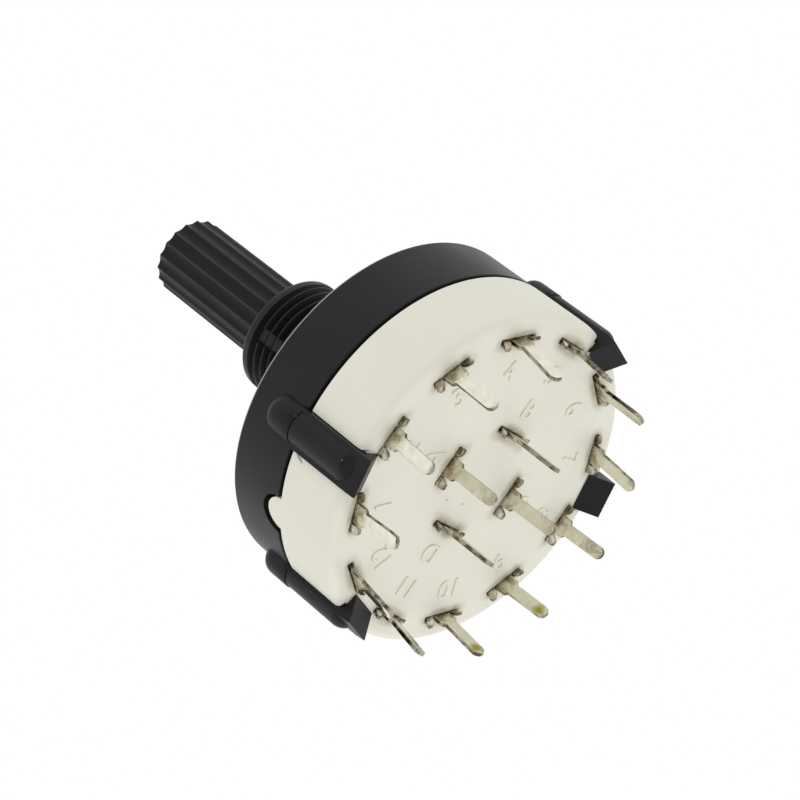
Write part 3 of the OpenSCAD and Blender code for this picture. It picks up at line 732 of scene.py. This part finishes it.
strip("common_strip", (PAD_Z + FLOOR_Z) / 2, COMMON_L)
common = settle(close_up(), to=(COMMON_R, 0, 0))
track = sector("track", TRACK_IN, TRACK_OUT, TRACK_HALF, PAD_Z, FLOOR_Z)
finish_strip(carve(common, track, "UNION"))
for k, (letter, (out, side)) in enumerate(COMMON_LEANS.items()):
    pole = bend(copy_of(common, f"common_terminal_{letter}"), out, side, COMMON_L)
    dress(settle(pole, turn=90 * k), tin, "stator", f"common_{letter}")
bpy.data.objects.remove(common)

# Shaft.
# One moulding of black nylon with its rotor head: the splined end for the knob, the journal that turns
# in the neck, the head with the ball bore and stop lug, the square hub and the pivot in the base.
SHAFT_R, SHAFT_L, TIP_EDGE = 3.0, 22.7, 0.05
SPLINES, FLUTE_AT, FLUTE_R, FLUTE_START, FLUTE_SLOPE = 18, 3.79, 0.99, 10.2, 0.15
HEAD_R, HEAD_TOP, HEAD_LOW = 8.2, -2.1, -4.9
LUG_IN, LUG_OUT, LUG_HALF, LUG_TOP = 5.2, 7.4, 12, -1.2
HUB_W, HUB_LOW, BALL_Z, BALL_BORE = 4.4, -8.3, -3.5, 1.05
STEPS = 12

shaft = turned("shaft_moulding", [
    (0, FLOOR_Z - PIVOT_L), (PIVOT_R, FLOOR_Z - PIVOT_L), (PIVOT_R, HEAD_LOW), (HEAD_R, HEAD_LOW),
    (HEAD_R, HEAD_TOP), (SHAFT_R, HEAD_TOP), (SHAFT_R, FLUTE_START), (SHAFT_R, FLUTE_START + FLUTE_SLOPE),
    (SHAFT_R, SHAFT_L - TIP_EDGE), (SHAFT_R - TIP_EDGE, SHAFT_L), (0, SHAFT_L),
], closed=False, steps=SPLINES * STEPS)
# each flute is pressed in row by row, right through the tip's fine bevel, so that the end is toothed
pitch = 360 / SPLINES
for row in range(STEPS // 2):
    off_middle = row * pitch / STEPS
    turn = math.radians(off_middle)
    deep = FLUTE_AT * math.cos(turn) - math.sqrt(FLUTE_R ** 2 - (FLUTE_AT * math.sin(turn)) ** 2)
    for r, low, high in (
        (SHAFT_R - TIP_EDGE, SHAFT_L - NEAR, SHAFT_L + NEAR),
        (SHAFT_R, FLUTE_START + NEAR, SHAFT_L - TIP_EDGE + NEAR),
    ):

        def in_row(p):
            off = (math.degrees(math.atan2(p.y, p.x)) - pitch / 2) % pitch
            on_shaft = abs(math.hypot(p.x, p.y) - r) < NEAR and low < p.z < high
            return on_shaft and abs(min(off, pitch - off) - off_middle) < pitch / STEPS / 4

        pick("VERT", in_row)
        bpy.ops.transform.resize(value=(deep / r, deep / r, 1), center_override=(0, 0, 0))
    pick("VERT", circle(deep, SHAFT_L - TIP_EDGE))
    move(z=TIP_EDGE)
close_up()
slab("hub", (-HUB_W / 2, -HUB_W / 2, HUB_LOW), (HUB_W / 2, HUB_W / 2, HEAD_LOW + LAP))
carve(shaft, close_up(), "UNION")
carve(shaft, sector("lug", LUG_IN, LUG_OUT, LUG_HALF, HEAD_TOP - LAP, LUG_TOP), "UNION")
rod("ball_bore", BALL_BORE, -HEAD_R - PAST, HEAD_R + PAST, lying=True)
carve(shaft, settle(close_up(), to=(0, 0, BALL_Z)))

# Glass-filled nylon: a shade darker than the housing and with a weaker sheen. The crests of its splines
# are painted pale, a painted highlight along each crest.
black_nylon, tree, shader, coords, tone = mottled(
    "black_nylon", "#111113", "#0b0b0c", 3.0, 0.36, 0.07, 0.004,
    {"IOR": 1.53, "Specular IOR Level": 0.15},
)
far, xyz = from_axis(tree, coords)
# painted highlight: a pale line along each spline's crest
crest = {1: (SHAFT_R - 0.07) * MM, 2: (SHAFT_R - 0.02) * MM, 3: 0.0, 4: 0.9}
crest = node(tree, "MapRange", crest, {0: far}).outputs[0]
fluted = {1: FLUTE_START * MM, 2: (FLUTE_START + 0.2) * MM, 3: 0.0, 4: 1.0}
fluted = node(tree, "MapRange", fluted, {0: xyz[2]}).outputs[0]
painted_highlight = node(tree, "Math", {"operation": "MULTIPLY"}, {0: crest, 1: fluted}).outputs[0]
tone = node(tree, "Mix", {"data_type": "RGBA", 7: linear("#353537")}, {0: painted_highlight, 6: tone}).outputs[2]
tree.links.new(tone, shader.inputs["Base Color"])
dress(shaft, black_nylon, "rotor", "shaft", angle=24)

# Contact carrier and wipers.
# The carrier is a white PBT disc keyed on the shaft's square hub. It holds a bowed strip of phosphor
# bronze for each pole, which joins that pole's track to one outer pad. All keep the CAD's mesh.


def redress(names, material):
    """Gives CAD nodes that keep their own mesh a procedural material."""
    for name in names:
        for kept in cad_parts[name].material_slots:
            kept.material = material


# Unfilled white PBT: a clean warm white with a low sheen.
white_pbt = mottled("white_pbt", "#e8e6dc", "#dfddd2", 4.0, 0.48, 0.12, 0.003)[0]
redress(["contact_carrier"], white_pbt)
# Rolled phosphor bronze: a warm metal with a soft, uneven gloss.
bronze = mottled("phosphor_bronze", "#c69a62", "#a97c48", 0.8, 0.28, 0.1, 0.004, {"Metallic": 1.0})[0]
redress([f"wiper_{letter}" for letter in "abcd"], bronze)

# Detent.
# Two hard steel balls and a coil spring of steel wire press outwards from the rotor head. They keep the
# CAD's mesh.

# Polished steel: mirror-like, with a slight uneven oil film.
steel = mottled("polished_steel", "#cfd1d3", "#bcbec1", 0.9, 0.12, 0.2, 0.001, {"Metallic": 1.0})[0]
redress(["detent_ball_1", "detent_ball_2", "detent_spring"], steel)

# Studio.
# A pale plain floor well below the object, and a soft even sky that the camera sees as white and glossy
# faces mirror as a white room with a dim side. Of three soft boxes one is high, one low, one to the side.
GROUND_SIZE, GROUND_Z = 6, -0.6
# how bright the sky is for what it lights, and the room for what mirrors it, down to its dim side
SKY, ROOM, DIM_SIDE = 0.87, 1.0, 0.25

bpy.ops.mesh.primitive_plane_add(size=GROUND_SIZE, location=(0, 0, GROUND_Z))
floor = begin("studio_floor")
bpy.ops.object.mode_set(mode="OBJECT")
pale = bpy.data.materials.new("pale_floor")
pale.use_nodes = True
tree = pale.node_tree
tree.nodes["Principled BSDF"].inputs["Roughness"].default_value = 0.9
coords = node(tree, "TexCoord").outputs["Object"]
faint = node(tree, "TexNoise", {"Scale": 4.0}, {"Vector": coords}).outputs[0]
wash = node(tree, "Mix", {"data_type": "RGBA", 6: linear("#f4f4f3"), 7: linear("#f8f8f8")}, {0: faint})
tree.links.new(wash.outputs[2], tree.nodes["Principled BSDF"].inputs["Base Color"])
floor.data.materials.append(pale)
bpy.ops.object.transform_apply(location=True, rotation=True, scale=True)

scene = bpy.context.scene
scene.view_settings.view_transform = "Standard"
world = bpy.data.worlds.new("studio")
scene.world = world
world.use_nodes = True
tree = world.node_tree
rays = node(tree, "LightPath")
way = node(tree, "TexCoord").outputs["Generated"]
to_dim = node(tree, "VectorMath", {"operation": "DOT_PRODUCT", 1: (0.8, 0.07, -0.6)}, {0: way})
room = {"interpolation_type": "SMOOTHSTEP", 1: 0.35, 2: 0.9, 3: ROOM, 4: DIM_SIDE}
room = node(tree, "MapRange", room, {0: to_dim.outputs["Value"]})
seen = {0: rays.outputs["Is Glossy Ray"], 1: rays.outputs["Is Transmission Ray"]}
shine = node(tree, "Math", {"operation": "MAXIMUM"}, seen)
level = node(tree, "Mix", {2: SKY}, {0: shine.outputs[0], 3: room.outputs[0]})
level = node(tree, "Mix", {3: 1.0}, {0: rays.outputs["Is Camera Ray"], 2: level.outputs[0]})
tree.nodes["Background"].inputs[0].default_value = (1, 1, 1, 1)
tree.links.new(level.outputs[0], tree.nodes["Background"].inputs[1])

# each soft box has a place and a width in metres and a power in watts, and shines at the housing
middle = Vector((0, 0, -3 * MM))
for name, place, size, power in (
    ("key", (0.3, 0.36, 0.14), 0.5, 0.3), ("fill", (-0.3, -0.12, -0.42), 0.3, 0.62),
    ("side", (0.12, -0.45, -0.12), 0.4, 0.32),
):
    bpy.ops.object.light_add(type="AREA", location=place)
    box = bpy.context.object
    box.name = name
    box.data.energy, box.data.size = power, size
    box.rotation_euler = (middle - Vector(place)).to_track_quat("-Z", "Y").to_euler()
    box.visible_camera = box.visible_glossy = False

# the camera was fitted to the outlines of the switch in the photograph
bpy.ops.object.camera_add(location=(0.16787, 0.01753, -0.12639))
camera = bpy.context.object
camera.rotation_mode = "QUATERNION"
camera.rotation_quaternion = (0.41712, 0.248743, 0.858642, 0.163925)
camera.data.sensor_width, camera.data.lens = 36, 134.93
camera.data.shift_x, camera.data.shift_y = -0.00146, -0.01775
camera.data.clip_start, camera.data.clip_end = 0.01, 20
scene.camera = camera
